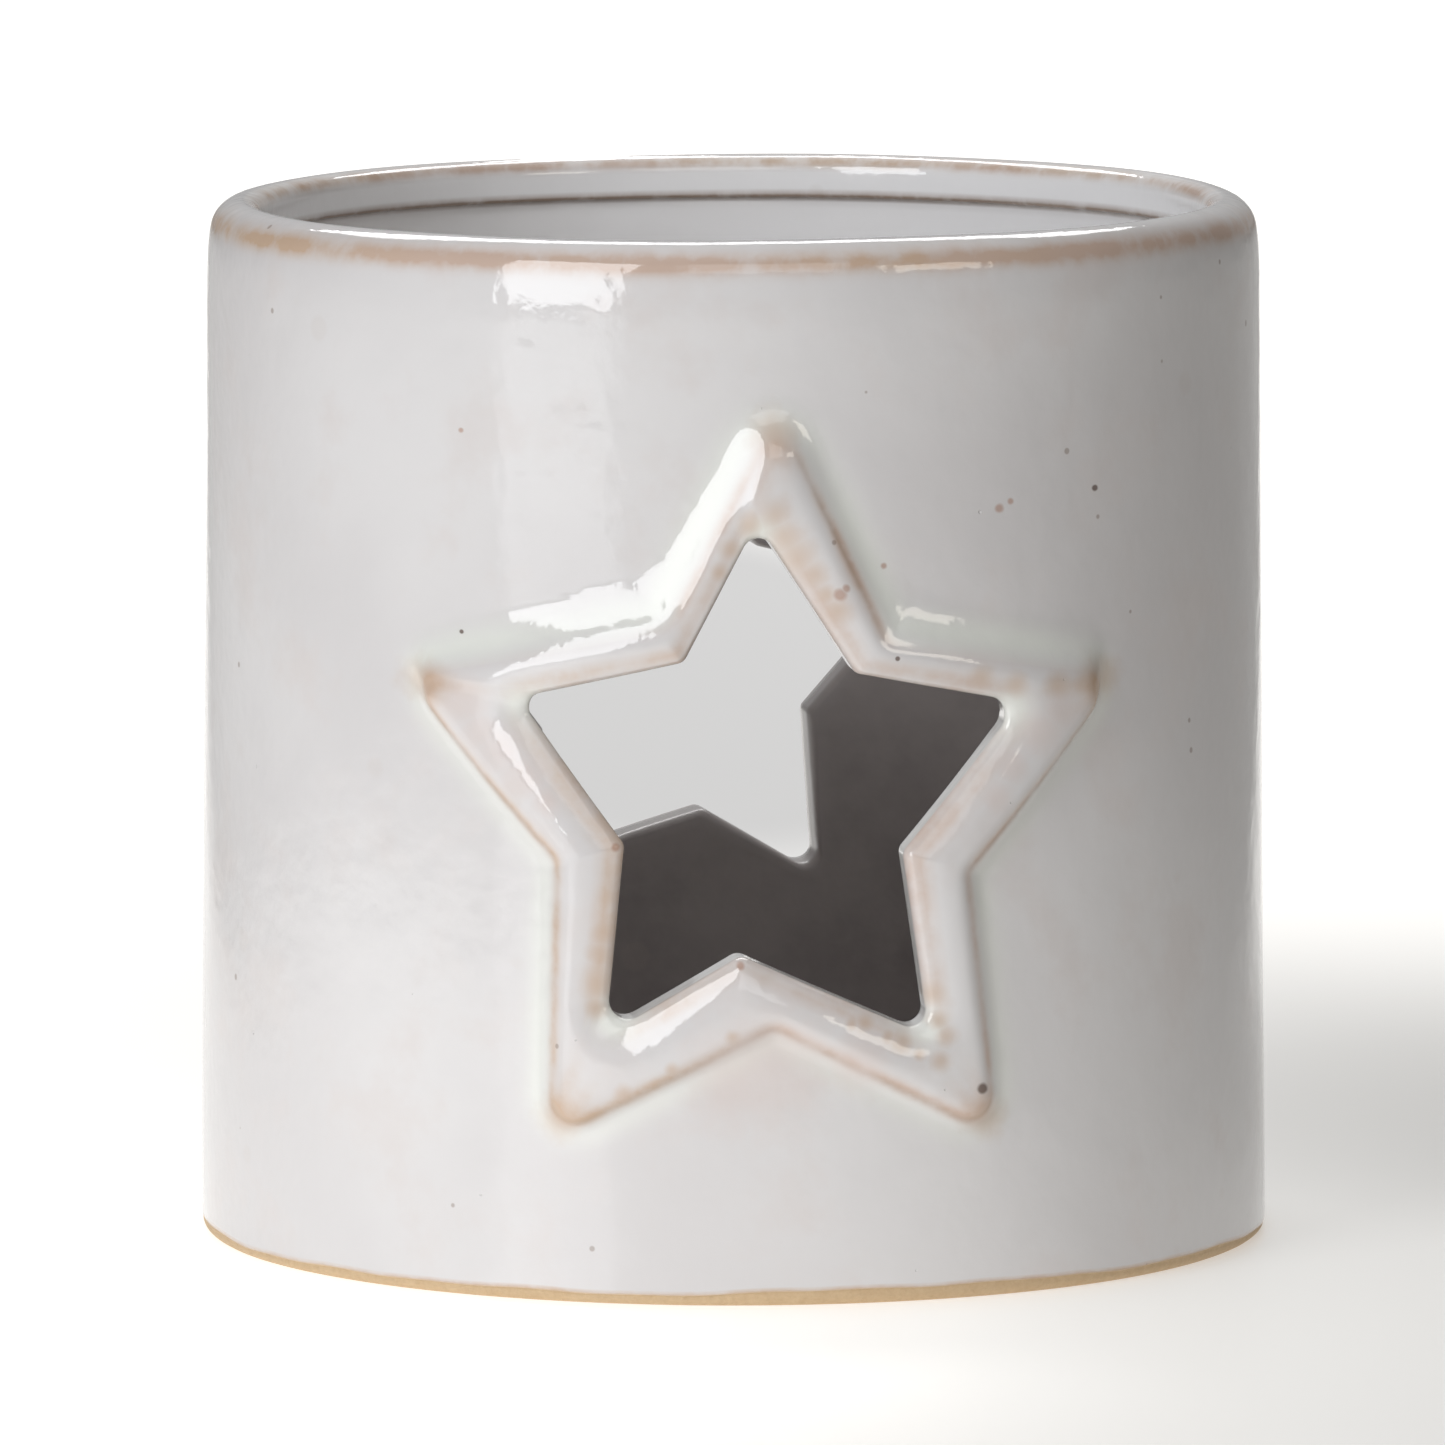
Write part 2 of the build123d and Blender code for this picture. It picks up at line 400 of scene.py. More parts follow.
def frame_glaze(beyond, opened, upward, slope, place, from_tip):
    """Glaze of the frame, thin along the crest, at the tips and by the opening, and pooled on its ledges.

    Also gives the glaze that is pooled in the corners by the tips of the opening.
    """
    on_face = beyond < 0
    corner = bell(from_tip, 0, 8.0) * (1 - ramp(opened, 0.9, 2.2)) * on_face
    thin = np.interp(upward, *CREST_LINE) * bell(beyond, 0.1, 0.45)
    thin = thin + bell(from_tip, 0, 4.0) * bell(beyond, -0.5, 1.2)
    thin = thin + 0.4 * bell(place, THIN_LIMB, 12.0) * bell(beyond, 0.35, 0.3)
    thin = thin + 0.7 * bell(opened, 0.8, 0.6) * (1 - corner) * on_face
    pool = np.interp(upward, *POOL_STRENGTH) * bell(beyond, 0.9 + 0.9 / slope, 0.5 + 0.9 / slope)
    pool = pool * (beyond > 0) + corner
    burnt = 0.5 * bell(place, THIN_LIMB, 11.0) * bell(beyond, 0.1, 0.2)
    burnt = burnt + 0.3 * ramp(-upward, 0.2, 0.5) * bell(beyond, 0.3, 0.28)
    return {"thin": thin, "pool": pool, "burnt": burnt}, corner


def frame_outside(shell, turn, opening, crest):
    """The wall round one star and its raised frame. Gives the last ring, its height and its pooled glaze."""
    normal = facing(crest)
    upward = averaged(normal[:, 1], 5)
    outside, crest_ring = outer_rings(opening, crest, normal, upward)
    beyond = distance_to(outside, crest)
    beyond[crest_ring:] *= -1
    opened = distance_to(outside, opening)
    place = np.arange(CORNERS * SECTOR)
    from_tip = np.minimum(place % (2 * SECTOR), -place % (2 * SECTOR))
    hollow = bell(from_tip, SECTOR, 8.0)
    sideways = averaged(normal[:, 0], 5) * ramp(upward, 0.1, 0.4) * (1 - ramp(upward, 0.6, 0.9))
    slope = np.interp(upward, *SIDE_SLOPE) * (1 + 0.12 * sideways)
    pooling = np.interp(upward, *FOOT_POOLING) + 0.7 * hollow * ramp(beyond, 0.0, 1.0)
    height = relief(beyond, opened, slope, pooling)
    z = STAR_HEIGHT + outside[..., 1]
    phi = turn + outside[..., 0] / UNROLL
    radius = outer_radius(z) + swell(phi, z) + height
    values, corner = frame_glaze(beyond, opened, upward, slope, place, from_tip)
    shell.grid(on_axis(phi, radius, z), values, closed=True)
    return outside[-1], height[-1], corner[-1]


def opening_edge(shell, turn, opening, edge, edge_height, corner):
    """The rounded outer edge of an opening. Gives the radius and angle of its last ring."""
    rings, thins = [], []
    for tilt in np.linspace(EDGE_TILT, np.pi / 2, EDGE_RINGS):
        share = (math.sin(tilt) - math.sin(EDGE_TILT)) / (1 - math.sin(EDGE_TILT))
        ring = edge + (opening - edge) * share
        z = STAR_HEIGHT + ring[:, 1]
        phi = turn + ring[:, 0] / UNROLL
        drop = EDGE_ROUNDING * (math.cos(EDGE_TILT) - math.cos(tilt))
        mouth = outer_radius(z) + swell(phi, z) + edge_height - drop
        rings.append(on_axis(phi, mouth, z))
        thins.append((0.5 + 0.2 * share) * (1 - corner))
    shell.grid(np.array(rings), {"thin": np.array(thins), "pool": corner}, closed=True)
    return mouth, phi


def cut_wall(shell, turn, opening, crest, mouth, phi, cut_shade):
    """The cut, nearly square to the front, and its inner edge. Gives its last ring, angles and heights."""
    width = np.linalg.norm(crest - opening, axis=-1, keepdims=True)
    across = mouth * np.sin(phi - turn)
    steps = [(share, 0.0) for share in np.arange(CUT_RINGS + 1) / CUT_RINGS] + [(1.0, a) for a in QUARTER[1:]]
    rings = []
    for share, gamma in steps:
        ring = opening + (crest - opening) / width * INNER_EDGE_ROUNDING * (1 - np.cos(gamma))
        z = STAR_HEIGHT + ring[:, 1]
        spread = (ring - opening)[:, 0]
        stop = inner_radius(phi, z) + INNER_EDGE_ROUNDING * (1 - np.sin(gamma))
        depth = mouth + (stop - mouth) * share
        offset = across + spread - CUT_SKEW * (mouth - depth)
        local = np.arcsin(offset / depth)
        rings.append(on_axis(turn + local, depth, z))
    shares, gammas = np.array(steps).T[:, :, None]
    # painted shade darkens the back cut and dims its thin and pooled glaze, and the inner edge takes the
    # cavity's painted shade
    values = {
        "thin": (0.75 - 0.4 * cut_shade) * bell(gammas, 0.8, 0.4),
        "inside": np.maximum(cut_shade * ramp(shares, 0.0, 0.5), 0.9 * ramp(gammas, 0.2, 1.4)),
        "pool": 0.4 - 0.4 * cut_shade,
    }
    shell.grid(np.array(rings), values, closed=True)
    return rings[-1], local, z


def star_patch(shell, turn, opening, crest, cut_shade):
    """One star window: the wall round it, its raised frame, the cut through the wall and the inside."""
    edge, edge_height, corner = frame_outside(shell, turn, opening, crest)
    mouth, phi = opening_edge(shell, turn, opening, edge, edge_height, corner)
    ring, local, ring_z = cut_wall(shell, turn, opening, crest, mouth, phi, cut_shade)

    # inside wall, out to the same rectangle, with the cavity's painted shade and painted light
    share = (np.arange(INNER_RINGS + 1) / INNER_RINGS)[:, None] ** 1.2
    wall_phi = turn + local + (rectangle[:, 0] / UNROLL - local) * share
    wall_z = ring_z + (STAR_HEIGHT + rectangle[:, 1] - ring_z) * share
    inside = on_axis(wall_phi, inner_radius(wall_phi, wall_z), wall_z)
    inside[0] = ring
    shell.grid(inside, inside_glaze(wall_z), closed=True)


def around(side):
    """Angles of the columns all the way round that meet a patch's top (+1) or bottom (-1) side."""
    stop = CORNER_COLUMN if side > 0 else 180 - LOWER_CORNER_COLUMN
    depth = (PATCH_TOP - STAR_HEIGHT) if side > 0 else (STAR_HEIGHT - PATCH_BOTTOM)
    patch = depth * np.tan(np.radians(np.arange(-stop, stop + 1))) / UNROLL
    right = np.linspace(PATCH_ANGLE, BACK_TURN - PATCH_ANGLE, SIDE_COLUMNS + 1)[1:-1]
    left = np.linspace(BACK_TURN + PATCH_ANGLE, math.tau - PATCH_ANGLE, SIDE_COLUMNS + 1)[1:-1]
    return np.concatenate([patch, right, BACK_TURN + patch, left])


def arc(centre, radius, start, end, steps):
    """Points (r, z) on an arc, angles in degrees from outward level, anticlockwise."""
    angle = np.radians(np.linspace(start, end, steps + 1))
    return [(centre[0] + radius * math.cos(a), centre[1] + radius * math.sin(a)) for a in angle]


def line(start, end, steps):
    """Points (r, z) on a line, without its two ends."""
    share = np.arange(1, steps) / steps
    return [(start[0] + (end[0] - start[0]) * t, start[1] + (end[1] - start[1]) * t) for t in share]


def side_walls(shell):
    """Outside and inside wall between the two star patches."""
    z = (STAR_HEIGHT + rectangle[CORNER_COLUMN : LOWER_CORNER_COLUMN + 1, 1])[:, None]
    right = (PATCH_ANGLE, BACK_TURN - PATCH_ANGLE)
    left = (BACK_TURN + PATCH_ANGLE, math.tau - PATCH_ANGLE)
    for start, end in (right, left):
        phi = np.linspace(start, end, SIDE_COLUMNS + 1)[None, :]
        shell.grid(on_axis(phi, outer_radius(z) + swell(phi, z), z), {})
        upward = z[::-1]
        # the inside wall takes painted shade low down and painted light near the lip
        shell.grid(on_axis(phi, inner_radius(phi, upward), upward), inside_glaze(upward))


def lip_profile():
    """Points (r, z) of the rim's section on the cavity side, from the inside wall up over the lip."""
    lip = RIM_RADIUS - LIP_THICKNESS
    crown = HEIGHT - CROWN_DROP
    under = HEIGHT - LIP_DEPTH
    wall = float(outer_radius(under)) - WALL
    points = [(wall, PATCH_TOP + rise) for rise in (0.9, 1.8, 2.5)]
    # the soft corner between the wall and the underside of the lip
    points += [(wall - 0.03, under - 0.42), (wall - 0.13, under - 0.16), (wall - 0.32, under - 0.04)]
    points += arc((lip + LIP_EDGE_ROUNDING, under + LIP_EDGE_ROUNDING), LIP_EDGE_ROUNDING, 270, 180, 5)
    points += line((lip, under + LIP_EDGE_ROUNDING), (lip, crown - RIM_INNER_ROUNDING), 4)
    points += arc((lip + RIM_INNER_ROUNDING, crown - RIM_INNER_ROUNDING), RIM_INNER_ROUNDING, 180, 96, 9)
    return points


def shoulder_profile():
    """Points (r, z) of the rim's section on the outside, from its top down to the plain wall."""
    rising = [(float(outer_radius(PATCH_TOP)), PATCH_TOP)]
    leans = np.interp(np.linspace(PATCH_TOP, RIM_TURN, LEAN_STEPS + 1), LEAN_HEIGHTS, LEAN_DEGREES)
    rise = (RIM_TURN - PATCH_TOP) / LEAN_STEPS
    for before, after in zip(leans, leans[1:]):
        r, z = rising[-1]
        rising.append((r - rise * math.tan(math.radians((before + after) / 2)), z + rise))
    r, z = rising.pop()
    centre = (r - RIM_OUTER_ROUNDING * math.cos(math.radians(leans[-1])), HEIGHT - RIM_OUTER_ROUNDING)
    return arc(centre, RIM_OUTER_ROUNDING, 90, leans[-1], 12) + rising[:0:-1]


def rim(shell):
    """From the inside wall up round the lip, over the rim and down to the outside wall."""
    phi = around(1)[None, :]
    inner = lip_profile()
    path = np.array(inner + shoulder_profile())
    r, z = path[:, :1], path[:, 1:]
    lift = ramp(z, PATCH_TOP + 0.5, HEIGHT - 1.5)
    uneven = 0.13 * (np.sin(phi - 0.1) - 1) + 0.05 * (np.sin(3 * phi + 1.0) - 1)
    uneven = uneven + 0.03 * (np.sin(7 * phi) - 1)
    lip_wave = 0.10 * np.sin(4 * phi + 0.5) + 0.06 * np.sin(9 * phi + 2.0)
    inside_part = np.arange(len(path))[:, None] < len(inner)
    radius = r + np.where(inside_part, lip_wave * lift - inner_swell(phi, z), swell(phi, z))
    height = z + uneven * lift
    top = np.full_like(phi, PATCH_TOP)
    radius = np.concatenate([inner_radius(phi, top), radius, outer_radius(top) + swell(phi, top)])
    height = np.concatenate([top, height, top])

    # glaze: brown on the outer shoulder and the inner edge, burnt in the undercut, and painted light
    # whitening the lip's face and the wall under it
    plain_z = np.concatenate([[PATCH_TOP], path[:, 1], [PATCH_TOP]])[:, None]
    inner_rows = np.concatenate([[True], inside_part[:, 0], [False]])[:, None]
    under = HEIGHT - LIP_DEPTH
    shoulder = 1.35 * bell(plain_z, HEIGHT - 1.6, 0.8) * ~inner_rows
    inner_edge = bell(plain_z, HEIGHT - CROWN_DROP - 0.45, 0.45) * inner_rows
    lip_painted_light = ramp(plain_z, under, under + 0.5)
    wall_glaze = inside_glaze(plain_z)
    values = {
        "thin": shoulder + inner_edge,
        "pale": np.maximum(lip_painted_light, wall_glaze["pale"]) * inner_rows,
        "burnt": 1.1 * bell(plain_z, under + 0.1, 0.32) * inner_rows,
        "inside": wall_glaze["inside"] * inner_rows,
    }
    shell.turned(phi, radius, height, values)


def bowl(shell):
    """From the middle of the floor out and up to the inside wall under the patches."""
    phi = around(-1)[None, :]
    wall = float(outer_radius(PATCH_BOTTOM)) - WALL
    flat = wall - FLOOR_CORNER
    path = [(flat * share, FLOOR) for share in (0.0, 0.12, 0.25, 0.4, 0.55, 0.7, 0.85)]
    centre = (flat, FLOOR + FLOOR_CORNER)
    path += [p for p in arc(centre, FLOOR_CORNER, 270, 360, 12) if p[1] < PATCH_BOTTOM - 0.3]
    r, z = np.array(path).T[:, :, None]
    edge = ramp(r, flat - 3, wall)
    radius = r - inner_swell(phi, z) * edge
    bottom = np.full_like(phi, PATCH_BOTTOM)
    radius = np.concatenate([radius, inner_radius(phi, bottom)])
    height = np.concatenate([np.broadcast_to(z, (len(path), phi.size)), bottom])
    # the floor of the cavity takes the full painted shade
    shell.turned(phi, radius, height, {"inside": 1.0})


def foot(shell):
    """From the outside wall down over the glaze line, round the foot ring and in to the middle."""
    phi = around(-1)[None, :]
    foot_line = FOOT_LINE + 0.16 * np.sin(3 * phi + 0.5) + 0.1 * np.sin(7 * phi) + 0.06 * np.sin(13 * phi + 1)
    foot_line = foot_line + 0.04 * np.sin(29 * phi + 2)

    # down the wall, and over the bead where the glaze ends
    drops = np.array([0.0, 0.2, 0.4, 0.6, 0.78, 0.9, 1.0])[:, None]
    base = foot_line + FOOT_BEAD
    wall_z = PATCH_BOTTOM + (base - PATCH_BOTTOM) * drops
    wall_r = outer_radius(wall_z) + swell(phi, wall_z)
    bead = np.linspace(0, np.pi / 2, 6)[:, None]
    bead_z = base - FOOT_BEAD * np.sin(bead)
    bead_r = wall_r[-1:] + 0.02 * np.sin(2 * bead) - FOOT_STEP * (1 - np.cos(bead))

    # the bare clay's rounded corner
    clay = float(outer_radius(0.0)) + swell(phi, np.zeros_like(phi)) - FOOT_STEP
    quarter = np.linspace(0, np.pi / 2, 8)[:, None]
    corner_z = FOOT_ROUNDING * (1 - np.sin(quarter)) * np.minimum(1, foot_line / FOOT_ROUNDING * 0.8)
    corner_r = clay - FOOT_ROUNDING + FOOT_ROUNDING * np.cos(quarter)

    # the foot ring and the recess inside it, as (radius, height)
    ring = FOOT_RING_INNER
    slope = [(ring, 0.05), (ring - RECESS_SLOPE * 0.5, RECESS * 0.55), (ring - RECESS_SLOPE, RECESS * 0.95)]
    under = [(39.0, 0.0), (36.0, 0.0), (ring + 0.4, 0.0)] + slope
    under += [(r, RECESS) for r in (ring - 1.2, 24.0, 16.0, 8.0, 0.0)]
    under_r, under_z = np.array(under).T[:, :, None] * np.ones_like(phi)

    radius = np.concatenate([wall_r, bead_r, corner_r, under_r])
    height = np.concatenate([wall_z, bead_z, corner_z, under_z])
    bead_row = len(wall_r)
    bare = np.zeros((len(radius), 1))
    bare[bead_row + 4 :] = 1.0
    bare[bead_row + 3] = 0.6
    thin = np.zeros((len(radius), 1))
    thin[bead_row : bead_row + 4] = [[0.25], [0.5], [0.8], [1.0]]
    shell.turned(phi, radius, height, {"bare": bare, "thin": thin})


def ceramic():
    """The whole glazed body as one closed mesh."""
    shell = Shell(["bare", "thin", "burnt", "pale", "pool", "inside"])
    # the last value is how much painted shade darkens the cut through the wall, and the back one, seen from
    # the front, is painted as in shade
    front = (0.0, FRONT_OPENING, FRONT_CREST, 0.0)
    back = (BACK_TURN, BACK_OPENING, BACK_CREST, 0.8)
    for turn, opening, crest, cut_shade in (front, back):
        opening_outline = rounded_outline(hand_cut(OPENING_TIPS, OPENING_HOLLOWS, opening))
        crest_outline = rounded_outline(hand_cut(CREST_TIPS, CREST_HOLLOWS, crest))
        star_patch(shell, turn, opening_outline, crest_outline, cut_shade)
    side_walls(shell)
    rim(shell)
    bowl(shell)
    foot(shell)
    return shell.make("glazed_body")


body = ceramic()
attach(body, "holder")
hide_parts("ceramic_body")


# ---------------------------------------------------------------- materials


class Tree:
    """The node tree of a new material, with short ways to add nodes."""

    def __init__(self, name):
        self.material = bpy.data.materials.new(name)
        self.material.use_nodes = True
        self.nodes = self.material.node_tree.nodes
        self.links = self.material.node_tree.links
        self.shader = self.nodes["Principled BSDF"]
        self.place = self.node("ShaderNodeTexCoord").outputs["Object"]

    def node(self, kind, inputs=None, **settings):
        """Adds a node. inputs gives a value or a socket for each input that isn't left as it is."""
        made = self.nodes.new(kind)
        for name, value in settings.items():
            setattr(made, name, value)
        for key, value in (inputs or {}).items():
            self.plug(made.inputs[key], value)
        return made

    def plug(self, socket, value):
        """Links a socket to an input, or sets its value."""
        if isinstance(value, bpy.types.NodeSocket):
            self.links.new(value, socket)
        else:
            socket.default_value = value

    def math(self, operation, a, b=0.0, c=0.0, clamp=False):
        """One sum on numbers."""
        inputs = {0: a, 1: b, 2: c}
        return self.node("ShaderNodeMath", inputs, operation=operation, use_clamp=clamp).outputs[0]

    def step(self, value, start, end, low=0.0, high=1.0):
        """A soft step of a value from low to high."""
        inputs = {"Value": value, "From Min": start, "From Max": end, "To Min": low, "To Max": high}
        made = self.node("ShaderNodeMapRange", inputs, interpolation_type="SMOOTHSTEP")
        return made.outputs["Result"]

    def mix(self, share, a, b):
        """A colour between a and b."""
        made = self.node("ShaderNodeMix", {"Factor": share}, data_type="RGBA")
        colours = [s for s in made.inputs if s.type == "RGBA"]
        self.plug(colours[0], a)
        self.plug(colours[1], b)
        return next(s for s in made.outputs if s.type == "RGBA")

    def noise(self, scale, detail=3.0, roughness=0.5):
        """Cloudy noise, scale in 1/m."""
        inputs = {"Vector": self.place, "Scale": scale, "Detail": detail, "Roughness": roughness}
        return self.node("ShaderNodeTexNoise", inputs).outputs["Fac"]

    def spots(self, scale, share, size):
        """Scattered round spots: cells of 1/scale metres, that share of them with a spot, size in cells."""
        cells = self.node("ShaderNodeTexVoronoi", {"Vector": self.place, "Scale": scale})
        pick = self.node("ShaderNodeSeparateColor", {"Color": cells.outputs["Color"]})
        chosen = self.math("GREATER_THAN", pick.outputs["Red"], 1 - share)
        reach = self.math("MULTIPLY", pick.outputs["Green"], size)
        near = self.math("SUBTRACT", reach, cells.outputs["Distance"])
        return self.math("MULTIPLY", chosen, self.step(near, 0.0, 0.35 * size))

    def attribute(self, name):
        """A value painted on the mesh."""
        return self.node("ShaderNodeAttribute", attribute_name=name).outputs["Fac"]

    def vector_sum(self, operation, a, b=(0.0, 0.0, 0.0), output="Vector"):
        """One sum on vectors."""
        return self.node("ShaderNodeVectorMath", {0: a, 1: b}, operation=operation).outputs[output]

    def bump(self, height, distance, normal=None):
        """Bumps the surface by height times distance in metres."""
        inputs = {"Height": height, "Distance": distance, "Strength": 1.0}
        if normal is not None:
            inputs["Normal"] = normal
        return self.node("ShaderNodeBump", inputs).outputs["Normal"]


# colour, strength and softness of each kind of mark in the glaze round the front star
MARK_KINDS = {
    "blush": ((0.70, 0.585, 0.545, 1), 0.45, 0.7),
    "tan": ((0.60, 0.445, 0.335, 1), 0.6, 1.0),
    "rust": ((0.42, 0.21, 0.13, 1), 0.6, 0.2),
    "iron": ((0.13, 0.08, 0.06, 1), 0.85, 0.0),
}

# the marks that stand out by themselves: kind, mm across and up from the star's middle, and size
RUST_SPECKS = [
    (5.5, 16.0, 0.55), (6.0, 16.5, 0.35), (9.0, 18.0, 0.25), (-2.0, -12.5, 0.25),
    (-11.5, -3.5, 0.35), (18.5, 22.0, 0.3), (19.5, 22.5, 0.2), (-24.0, 28.0, 0.2),
]
IRON_SPECKS = [(10.0, 11.0, 0.2), (27.5, 23.0, 0.25), (17.0, -22.5, 0.4), (-24.0, 12.5, 0.15)]
BLUSH_BELOW = [(0.0, -20.0, 4.0), (-2.5, -21.5, 3.0), (7.0, -20.0, 2.0)]

# how far strewn marks may lie from the line that they follow, in mm, and how their sizes differ
STREWN_ASIDE = 0.35
STREWN_SIZES = (0.6, 1.2)
STREWN_SEED = 11

# marks round the front star stay on the outer skin, in mm from the axis, and on the front, in mm along Y
SKIN_RADII = (39.5, 40.5)
FRONT_REACH = (-18.0, -24.0)


def frame_point(corner, outward):
    """A corner of the front frame, across and up in mm: outward is 0 at the opening and 1 at the crest."""
    opening = hand_cut(OPENING_TIPS, OPENING_HOLLOWS, FRONT_OPENING)[corner]
    crest = hand_cut(CREST_TIPS, CREST_HOLLOWS, FRONT_CREST)[corner]
    radius = opening[0] + (crest[0] - opening[0]) * outward
    angle = math.radians(opening[1] + (crest[1] - opening[1]) * outward)
    return np.array([radius * math.sin(angle), radius * math.cos(angle)])


def star_marks():
    """The marks round the front star, as lists of (across, up, size) in mm for each kind."""
    marks = {"blush": [], "tan": [], "rust": list(RUST_SPECKS), "iron": list(IRON_SPECKS)}
    draw = np.random.default_rng(STREWN_SEED)

    def strew(kind, corners, outward, stretch, count, size):
        """Strew marks along one limb of the frame, between two shares of the way from corner to corner."""
        begin, end = frame_point(corners[0], outward), frame_point(corners[1], outward)
        for share in np.linspace(*stretch, count):
            across, up = begin + (end - begin) * share + draw.uniform(-STREWN_ASIDE, STREWN_ASIDE, 2)
            marks[kind].append((float(across), float(up), float(size * draw.uniform(*STREWN_SIZES))))

    for tip in range(0, CORNERS, 2):
        marks["tan"].append((*frame_point(tip, 0.85).tolist(), 1.2))
    strew("tan", (0, 1), 0.35, (0.15, 0.7), 6, 0.9)
    strew("tan", (0, 9), 0.3, (0.2, 0.5), 3, 0.6)
    strew("tan", (2, 1), 0.5, (0.1, 0.5), 3, 1.1)
    strew("tan", (4, 5), 0.25, (0.05, 0.5), 6, 0.5)
    strew("tan", (4, 3), 0.2, (0.1, 0.3), 3, 0.8)
    strew("tan", (6, 7), 0.15, (0.2, 0.6), 4, 0.9)
    strew("tan", (6, 5), 0.9, (0.3, 0.8), 3, 0.5)
    strew("blush", (8, 7), 0.6, (0.1, 0.7), 5, 1.4)
    strew("blush", (2, 3), 0.5, (0.1, 0.6), 4, 1.4)
    marks["blush"] += BLUSH_BELOW
    return marks


def mark_mask(t, marks, softness, flat, ragged):
    """Where the marks of one kind are, from 0 to 1, by distance across the front in object space."""
    wall = outer_radius(STAR_HEIGHT) + 0.6
    mask = 0.0
    for across, up, size in marks:
        centre = (wall * math.sin(across / UNROLL) * MM, 0.0, (STAR_HEIGHT + up) * MM)
        away = t.vector_sum("DISTANCE", flat, centre, "Value")
        outer_reach = (1.3 + 0.8 * softness) * size * MM
        full_reach = 0.6 * (1 - softness) * size * MM
        near = t.step(t.math("MULTIPLY", away, ragged), outer_reach, full_reach)
        mask = t.math("MAXIMUM", mask, near)
    return mask


def glaze_material():
    """White stoneware glaze: thin and brown on edges, pooled by the star, bare clay under the foot."""
    t = Tree("glazed_stoneware")
    broad = t.noise(28.0, 3.0)
    patchy = t.noise(110.0, 4.0, 0.6)
    fine = t.noise(420.0, 3.0, 0.6)
    base = t.mix(t.step(broad, 0.35, 0.65), (0.69, 0.672, 0.676, 1), (0.755, 0.742, 0.745, 1))
    base = t.mix(t.step(patchy, 0.48, 0.72, 0.0, 0.5), base, (0.70, 0.65, 0.635, 1))
    pool = t.math("MULTIPLY", t.attribute("pool"), t.step(patchy, 0.2, 0.6, 0.55, 1.0))
    base = t.mix(pool, base, (0.82, 0.835, 0.79, 1))
    # painted light: the upper inside and the lip's face are whitened to look lit
    base = t.mix(t.attribute("pale"), base, (0.95, 0.95, 0.96, 1))
    thin = t.math("MULTIPLY", t.attribute("thin"), t.step(patchy, 0.25, 0.65, 0.45, 1.0))
    thin = t.math("MULTIPLY", thin, t.step(fine, 0.3, 0.65, 0.6, 1.15), clamp=True)
    tan = t.mix(t.step(broad, 0.4, 0.6), (0.60, 0.44, 0.32, 1), (0.62, 0.475, 0.395, 1))
    base = t.mix(thin, base, tan)
    burnt = t.math("MULTIPLY", t.attribute("burnt"), t.step(fine, 0.2, 0.6, 0.6, 1.0), clamp=True)
    base = t.mix(burnt, base, (0.36, 0.27, 0.21, 1))
    # painted shade: the cavity is darkened low down to look unlit
    dark = t.mix(t.step(patchy, 0.3, 0.7), (0.34, 0.31, 0.305, 1), (0.42, 0.385, 0.375, 1))
    base = t.mix(t.attribute("inside"), base, dark)
    specks = t.spots(380.0, 0.10, 0.13)
    base = t.mix(t.math("MULTIPLY", specks, 0.5), base, (0.22, 0.14, 0.10, 1))
    freckles = t.spots(210.0, 0.2, 0.3)
    base = t.mix(t.math("MULTIPLY", freckles, 0.12), base, (0.60, 0.52, 0.46, 1))

    # the marks round the front star, only on the outside of the front
    axes = t.node("ShaderNodeSeparateXYZ", {0: t.place}).outputs
    flat = t.node("ShaderNodeCombineXYZ", {"X": axes["X"], "Z": axes["Z"]}).outputs["Vector"]
    level = t.node("ShaderNodeCombineXYZ", {"X": axes["X"], "Y": axes["Y"]}).outputs["Vector"]
    out = t.vector_sum("LENGTH", level, output="Value")
    front = t.step(axes["Y"], *(reach * MM for reach in FRONT_REACH))
    front = t.math("MULTIPLY", front, t.step(out, *(radius * MM for radius in SKIN_RADII)))
    ragged = t.math("MULTIPLY_ADD", fine, 1.1, 0.45)
    ragged = t.math("MULTIPLY", ragged, t.math("MULTIPLY_ADD", patchy, 1.0, 0.5))
    marks = star_marks()
    for kind, (colour, strength, softness) in MARK_KINDS.items():
        mask = t.math("MULTIPLY", mark_mask(t, marks[kind], softness, flat, ragged), front)
        base = t.mix(t.math("MULTIPLY", mask, strength), base, colour)

    # bare clay under the foot, then gloss and bumps
    grain = t.noise(1500.0, 3.0, 0.7)
    clay = t.mix(grain, (0.52, 0.35, 0.19, 1), (0.70, 0.53, 0.33, 1))
    bare = t.attribute("bare")
    t.plug(t.shader.inputs["Base Color"], t.mix(bare, base, clay))
    gloss = t.step(patchy, 0.2, 0.8, 0.05, 0.09)
    gloss = t.math("ADD", gloss, t.math("MULTIPLY", bare, 0.6))
    gloss = t.math("ADD", gloss, t.math("MULTIPLY", t.attribute("inside"), 0.3))
    t.plug(t.shader.inputs["Roughness"], gloss)
    t.shader.inputs["IOR"].default_value = 1.62
    normal = t.bump(t.noise(240.0, 2.0, 0.5), 0.00010)
    normal = t.bump(t.noise(900.0, 2.0, 0.5), 0.00002, normal=normal)
    normal = t.bump(t.math("SUBTRACT", 1.0, t.spots(420.0, 0.3, 0.07)), 0.00005, normal=normal)
    normal = t.bump(t.math("MULTIPLY", grain, bare), 0.00012, normal=normal)
    t.plug(t.shader.inputs["Normal"], normal)
    return t.material


